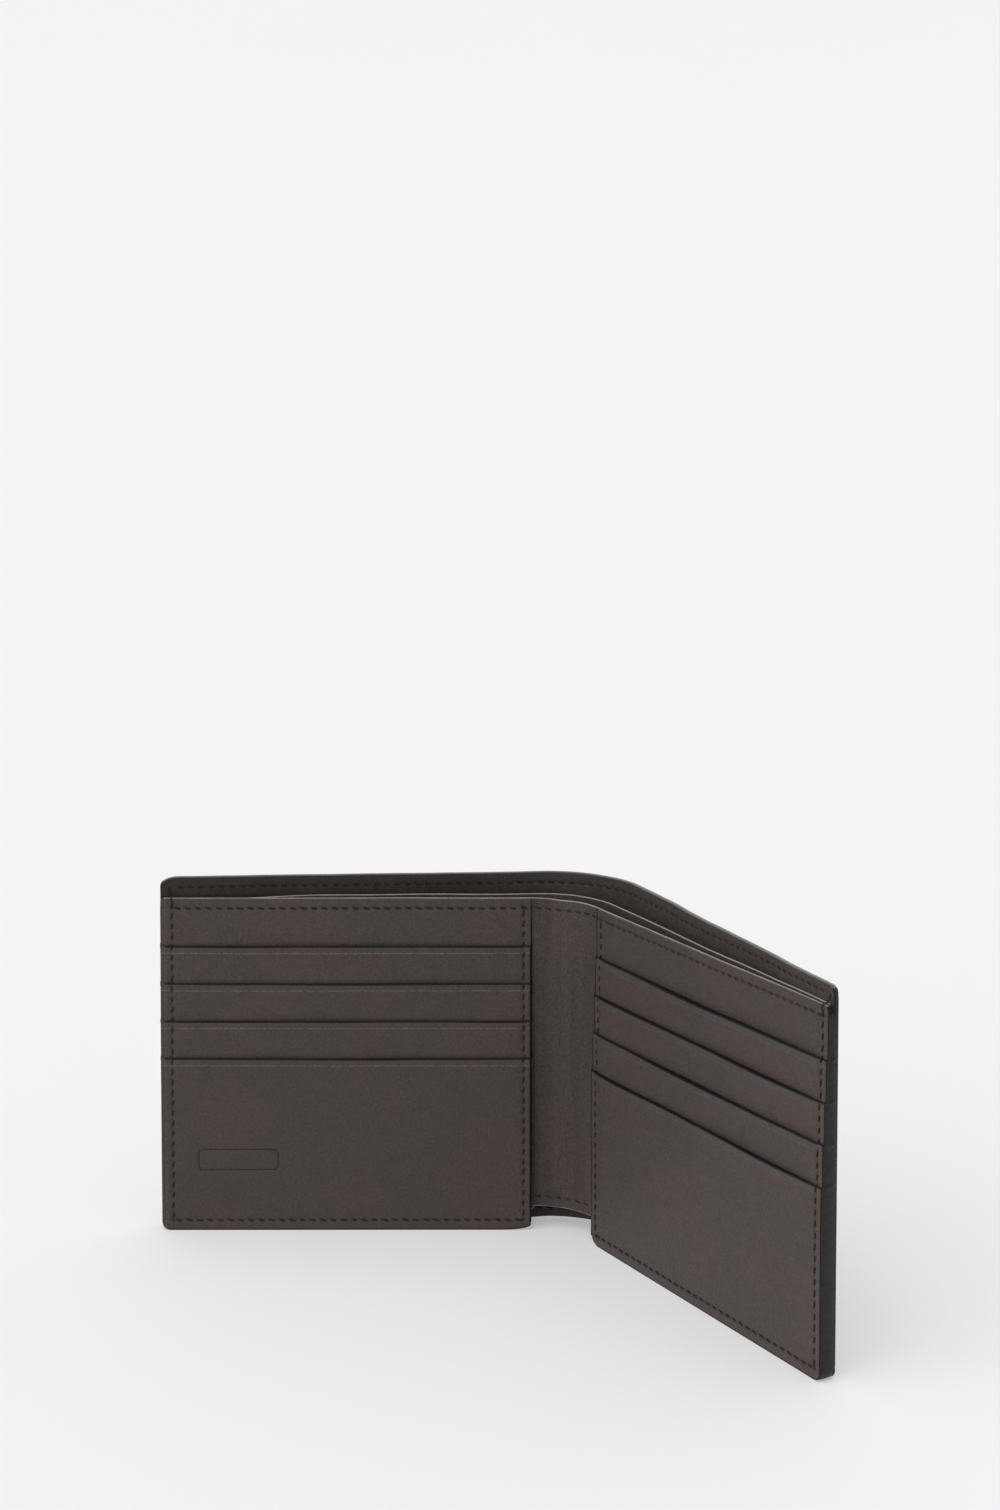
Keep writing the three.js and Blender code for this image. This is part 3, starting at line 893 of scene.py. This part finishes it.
def foremost(z):
    """Front of the foremost layer of a card stack at each height, with softened steps."""
    level = np.full_like(z, BASE_FRONT)
    for mouth, before, front in zip(MOUTHS, [BASE_FRONT, *POCKET_FRONTS], POCKET_FRONTS):
        level = level + (front - before) * (1 - ease(z, mouth - 0.35, mouth + 0.15))
    return level


def build_edge_paint(name, side, x_edge, outward, back, z_low, proud, corner, paint=PAINT):
    """A painted edge down a card stack's side: rounded, with a small bead at every pocket mouth."""
    z_high = PANEL_HEIGHT - PAINTED_TO
    zs = stations(z_low, z_high, 1.0, *[(mouth, 1.2, 0.15) for mouth in MOUTHS])
    front = foremost(zs) + PAINT_INSET + half_relief(np.full_like(zs, x_edge), zs)
    bead = sum(gauss(zs, mouth, 0.5) for mouth in MOUTHS)
    proud = proud * ease(z_high - zs, 0, 9) + PAINT_COAT
    tuck = Outline.drop(zs - z_low, (corner, corner)) + Outline.drop(z_high - zs, (corner, corner))
    taper = np.clip((zs - z_low) / PAINT_END, 0, 1) ** 0.5
    taper = np.maximum(taper * np.clip((z_high - zs) / PAINT_END, 0, 1) ** 0.5, 0.02)
    rings = []
    for k in range(EDGE_SIDES):
        angle = k / EDGE_SIDES * 2 * math.pi
        bulge = math.copysign(abs(math.sin(angle)) ** 0.8, math.sin(angle))
        y = (front + back) / 2 + (back - front) / 2 * math.cos(angle) * taper
        out = (proud + MOUTH_BEAD * bead) * max(bulge, 0) + PAINT_UNDER * min(bulge, 0)
        rings.append(PANEL.place(x_edge + outward * (out * taper - tuck), y, zs))
    points = np.stack(rings, 1).reshape(-1, 3)
    piece = new_object(name, points, loft_faces(len(zs), EDGE_SIDES, flip=outward < 0))
    around = np.tile(np.arange(EDGE_SIDES), len(zs)) * 0.4
    sheet = np.stack([around, np.repeat(zs, EDGE_SIDES), np.zeros(len(points))], -1)
    write_attributes(piece, sheet=sheet)
    finish_piece(piece, paint, [], f"{side}_half")


# ==== Stitches ====
STITCH_LENGTH = 1.95
THREAD_RADIUS = 0.19
STITCH_SLANT = 11.0  # degrees off the seam's line
STITCH_RISE = 0.13  # its middle stands this far up
STITCH_DIVE = 0.16  # and its ends go this far down into their holes
STITCH_WOBBLE = 0.03
PLY_DEPTH = 0.13  # how deep the thread's two plies are cut, as a share of its radius
PLY_TWIST = 5.0
THREAD_FLATNESS = 0.8
STITCH_RINGS = 9
STITCH_SIDES = 7
TOP_SEAM_RUN_ON = 1.3  # the top seam runs on past the spine-side seam, towards the stack's edge
STACK_SINK, PANEL_SINK, SHELL_SINK = 0.11, 0.10, 0.09  # how deep stitches lie in their dip


def stitch_row(points, direction, out_side):
    """One row of stitches, as vertices in sheet coordinates and faces.

    points are (x, y, z) on the leather, direction is the seam's (x, z), and out_side is -1 on a sheet's
    front and 1 on its back.
    """
    ax, az = direction
    vertices, faces = [], []
    slant = math.radians(STITCH_SLANT) * out_side
    along = (ax * math.cos(slant) - az * math.sin(slant), ax * math.sin(slant) + az * math.cos(slant))
    side = (-along[1], along[0])
    for number, (px, py, pz) in enumerate(points):
        faces += loft_faces(STITCH_RINGS, STITCH_SIDES, len(vertices), out_side < 0)
        wobble = math.sin(number * 2.7) * STITCH_WOBBLE
        for ring in range(STITCH_RINGS):
            t = ring / (STITCH_RINGS - 1) * 2 - 1
            centre = t * STITCH_LENGTH / 2
            height = STITCH_RISE * (1 - t**4) - STITCH_DIVE * abs(t) ** 7
            radius = THREAD_RADIUS * (1 - 0.5 * abs(t) ** 5)
            for k in range(STITCH_SIDES):
                angle = k / STITCH_SIDES * 2 * math.pi
                ply = 1 + PLY_DEPTH * math.cos(2 * angle - t * PLY_TWIST)
                across = radius * ply * math.cos(angle) + wobble
                rise = radius * THREAD_FLATNESS * ply * math.sin(angle) + height
                x = px + along[0] * centre + side[0] * across
                z = pz + along[1] * centre + side[1] * across
                vertices.append((x, py + out_side * rise, z))
    return vertices, faces


def seam_points(start, end, surface):
    """Stitch centres at an even pitch from start to end (x, z), lying on surface(x, z)."""
    length = math.hypot(end[0] - start[0], end[1] - start[1])
    count = max(1, int(round(length / PITCH)))
    direction = ((end[0] - start[0]) / length, (end[1] - start[1]) / length)
    points = []
    for n in range(count):
        share = (n + 0.5) / count
        x = start[0] + (end[0] - start[0]) * share
        z = start[1] + (end[1] - start[1]) * share
        points.append((x, float(surface(np.array([x]), np.array([z]))[0]), z))
    return points, direction


def thread_object(name, sheet, vertices, faces):
    flat = np.array(vertices)
    piece = new_object(name, sheet.place(*flat.T), faces)
    write_attributes(piece, sheet=flat[:, [0, 2, 1]])
    return piece


def build_seam(name, sheet, start, end, surface, nodes, body=None, out_side=-1, thread=THREAD):
    """A straight seam, as one piece of separate stitches."""
    points, direction = seam_points(start, end, surface)
    piece = thread_object(name, sheet, *stitch_row(points, direction, out_side))
    along = np.abs(np.linspace(-1, 1, STITCH_RINGS)).repeat(STITCH_SIDES)
    write_attributes(piece, tip=np.tile(along, len(points)))
    finish_piece(piece, thread, nodes, body)


def tube(path, radius, sides=8):
    """A round thread along a path of sheet coordinates, tapered at both ends."""
    path = np.array(path, float)
    vertices = []
    for n, point in enumerate(path):
        along = path[min(n + 1, len(path) - 1)] - path[max(n - 1, 0)]
        along /= np.linalg.norm(along)
        across = np.cross(along, (1.0, 0.0, 0.0))
        across /= np.linalg.norm(across)
        third = np.cross(along, across)
        size = radius * (0.45 if n in (0, len(path) - 1) else 1.0)
        for k in range(sides):
            angle = k / sides * 2 * math.pi
            vertices.append(point + size * (math.cos(angle) * across + math.sin(angle) * third))
    return vertices, loft_faces(len(path), sides)


def build_corner_stitches(side):
    """The side seam's last stitches, which climb over the inner panel's edge onto the shell's lining."""
    column = seam_columns(side)[0]
    outward = -1 if side == "left" else 1
    knots = [
        (0.0, BASE_FRONT - 0.05, -1.6), (0.0, BASE_FRONT - 0.32, -0.9), (0.1, BASE_FRONT - 0.36, -0.1),
        (0.25, -0.15, 0.28), (0.45, 0.45, 0.45), (0.7, SHELL_FRONT - 0.3, 1.0),
        (0.85, SHELL_FRONT - 0.16, 1.7), (0.9, SHELL_FRONT + 0.12, 2.3),
    ]
    path = [(column + outward * out, y, PANEL_HEIGHT + up) for out, y, up in knots]
    piece = thread_object(f"stitches_{side}_corner", PANEL, *tube(path, THREAD_RADIUS * 0.85))
    finish_piece(piece, THREAD, [], f"{side}_half")


def stack_surface(x, z):
    """The foremost leather of a card stack, pressed in along the seams."""
    level = np.full_like(z, BASE_FRONT)
    for mouth, front in zip(MOUTHS, POCKET_FRONTS):
        level = np.where(z < mouth, front, level)
    return level + half_relief(x, z) + STACK_SINK


def panel_surface(x, z):
    return spine_relief(x, z) + PANEL_SINK


def lining_surface(x, z):
    return shell_relief(x, z) + SHELL_SINK


def cover_surface(x, z):
    return COVER_BACK + shell_relief(x, z) - SHELL_SINK


def build_stack_seams(side):
    low, top = SEAM, PANEL_HEIGHT - SEAM
    outer, inner = seam_columns(side)
    first, last = sorted((outer, inner))

    def sew(row, start, end, node, thread=THREAD):
        build_seam(f"stitches_{side}_{row}", PANEL, start, end, stack_surface, [node], f"{side}_half",
                   thread=thread)

    sew("side", (outer, low), (outer, PANEL_HEIGHT - 0.6), f"thread_{side}_side")
    sew("spine_side", (inner, low + 0.6), (inner, top), f"thread_{side}_spine_side")
    build_corner_stitches(side)
    sew("bottom", (first, low), (last, low), f"thread_{side}_bottom")
    if side == "left":
        sew("top", (first, top), (last + TOP_SEAM_RUN_ON, top), "thread_panel_top_left")
    else:
        sew("top", (first - TOP_SEAM_RUN_ON, top), (last, top), "thread_panel_top_right", THREAD_PALE)


def build_folded_seams():
    """The seams that cross the spine, and the shell's side seams."""
    left, right = PANEL.left + 0.4, PANEL.right - 0.4
    for row, z, node in (
        ("top", PANEL_HEIGHT - SEAM, "thread_panel_top_spine"),
        ("bottom", SPINE_CUT + SEAM, "thread_panel_spine_bottom"),
    ):
        build_seam(f"stitches_spine_{row}", PANEL, (left, z), (right, z), panel_surface, [node])

    low, top = SEAM, COVER_HEIGHT - SEAM
    near, far = SEAM, SHELL.length - SEAM
    for row, start, end, z, nodes in (
        ("top", near + 1, far - 1, top, all_three("thread_lining_top")),
        ("bottom", SHELL.left - 5, SHELL.right + 4, low, ["thread_lining_bottom_spine"]),
    ):
        build_seam(f"stitches_lining_{row}", SHELL, (start, z), (end, z), lining_surface, nodes)
    for row, start, end, nodes, body in (
        ("top", (near, top), (far, top), all_three("thread_cover_top"), None),
        ("bottom", (near, low), (far, low), all_three("thread_cover_bottom"), None),
        ("side_left", (near, low), (near, top), ["thread_cover_side_left"], "left_half"),
        ("side_right", (far, low), (far, top), ["thread_cover_side_right"], "right_half"),
    ):
        build_seam(f"stitches_cover_{row}", SHELL, start, end, cover_surface, nodes, body, out_side=1)


# ==== Studio ====
CAMERA_PLAN = (83.99, -697.16)  # from the left stack's outer edge, on the inner panel's front face
CAMERA_HEIGHT = 276.8
CAMERA_YAW = 0.116  # degrees, turned to the right
CAMERA_PITCH = 4.517  # degrees, tipped down
CAMERA_LENS = 67.42
CAMERA_SHIFT = -0.265
LONG_SIDE_SENSOR = 36.0


def build_camera():
    data = bpy.data.cameras.new("camera")
    camera = bpy.data.objects.new("camera", data)
    bpy.context.scene.collection.objects.link(camera)
    data.sensor_fit = "AUTO"
    data.sensor_width = LONG_SIDE_SENSOR
    data.lens = CAMERA_LENS
    data.shift_y = CAMERA_SHIFT
    data.clip_start, data.clip_end = 0.01, 20.0
    x, y = CAMERA_PLAN
    camera.location = (PANEL_LOW.x + x * MM, PANEL_LOW.y + y * MM, CAMERA_HEIGHT * MM)
    camera.rotation_euler = (math.radians(90 - CAMERA_PITCH), 0, math.radians(-CAMERA_YAW))
    bpy.context.scene.camera = camera


FLOOR_TONE = 0.5
FLOOR_GLOW = 0.34  # keeps the contact shadows as soft as on a lit studio table
SWEEP_STEPS = 16


def build_floor():
    """A pale floor that sweeps up far behind the wallet."""
    width, front, back, rise, radius = 12.0, -6.0, 3.0, 6.0, 1.6
    profile = [(front, 0.0), (0.0, 0.0), (back - radius, 0.0)]
    for n in range(1, SWEEP_STEPS + 1):
        angle = n / SWEEP_STEPS * math.pi / 2
        profile.append((back - radius + radius * math.sin(angle), radius - radius * math.cos(angle)))
    profile.append((back, rise))
    vertices = [(x, y, z) for y, z in profile for x in (-width / 2, width / 2)]
    faces = [[2 * n, 2 * n + 1, 2 * n + 3, 2 * n + 2] for n in range(len(profile) - 1)]
    floor = new_object("floor", vertices, faces)
    look = Look("pale_floor", on_sheet=False)
    look.surface({
        "Base Color": look.ramp(look.noise(1.5), (0.3, FLOOR_TONE), (0.7, FLOOR_TONE * 1.02)),
        "Emission Color": (1, 1, 1), "Emission Strength": FLOOR_GLOW,
        "Roughness": 0.75, "Specular IOR Level": 0.25,
    })
    floor.data.materials.append(look.material)


AMBIENT = 0.60
SOFTNESS = 70  # degrees that each light spans


def sun_light(name, source, strength):
    """A soft distant light that shines from source towards the wallet."""
    data = bpy.data.lights.new(name, "SUN")
    data.energy = strength
    data.angle = math.radians(SOFTNESS)
    light = bpy.data.objects.new(name, data)
    light.rotation_mode = "QUATERNION"
    light.rotation_quaternion = (-Vector(source)).to_track_quat("-Z", "Y")
    bpy.context.scene.collection.objects.link(light)


def build_studio():
    world = bpy.data.worlds.new("studio")
    world.use_nodes = True
    background = world.node_tree.nodes["Background"]
    background.inputs["Color"].default_value = (1, 1, 1, 1)
    background.inputs["Strength"].default_value = AMBIENT
    bpy.context.scene.world = world
    bpy.context.scene.view_settings.view_transform = "Standard"
    sun_light("key", (-0.66, -0.56, 0.72), 1.35)
    sun_light("overhead", (0.05, 0.2, 1.0), 0.7)


# ==== Build ====
build_camera()
build_floor()
build_studio()
build_shell()
build_divider()
build_inner_panel()
for half in ("left", "right"):
    build_stack(half)
    board = frame["nodes"][f"cover_board_{half}"]
    board.data.materials.clear()
    board.data.materials.append(BOARD)
for half, edge, outward, proud in (
    ("left", STACK_INSET, -1, 0.0), ("right", PANEL.length - STACK_INSET, 1, 0.22),
):
    build_edge_paint(f"edge_paint_{half}_side", half, edge, outward, SIDE_PAINT_BACK, 0, proud, CORNER)
for half, edge, outward in (("left", PANEL.left, 1), ("right", PANEL.right, -1)):
    build_edge_paint(f"edge_paint_{half}_spine_side", half, edge, outward, SPINE_PAINT_BACK,
                     SPINE_PAINT_LOW, SPINE_PAINT_PROUD, 0, PAINT_SHADED)
build_stack_seams("left")
build_stack_seams("right")
build_folded_seams()
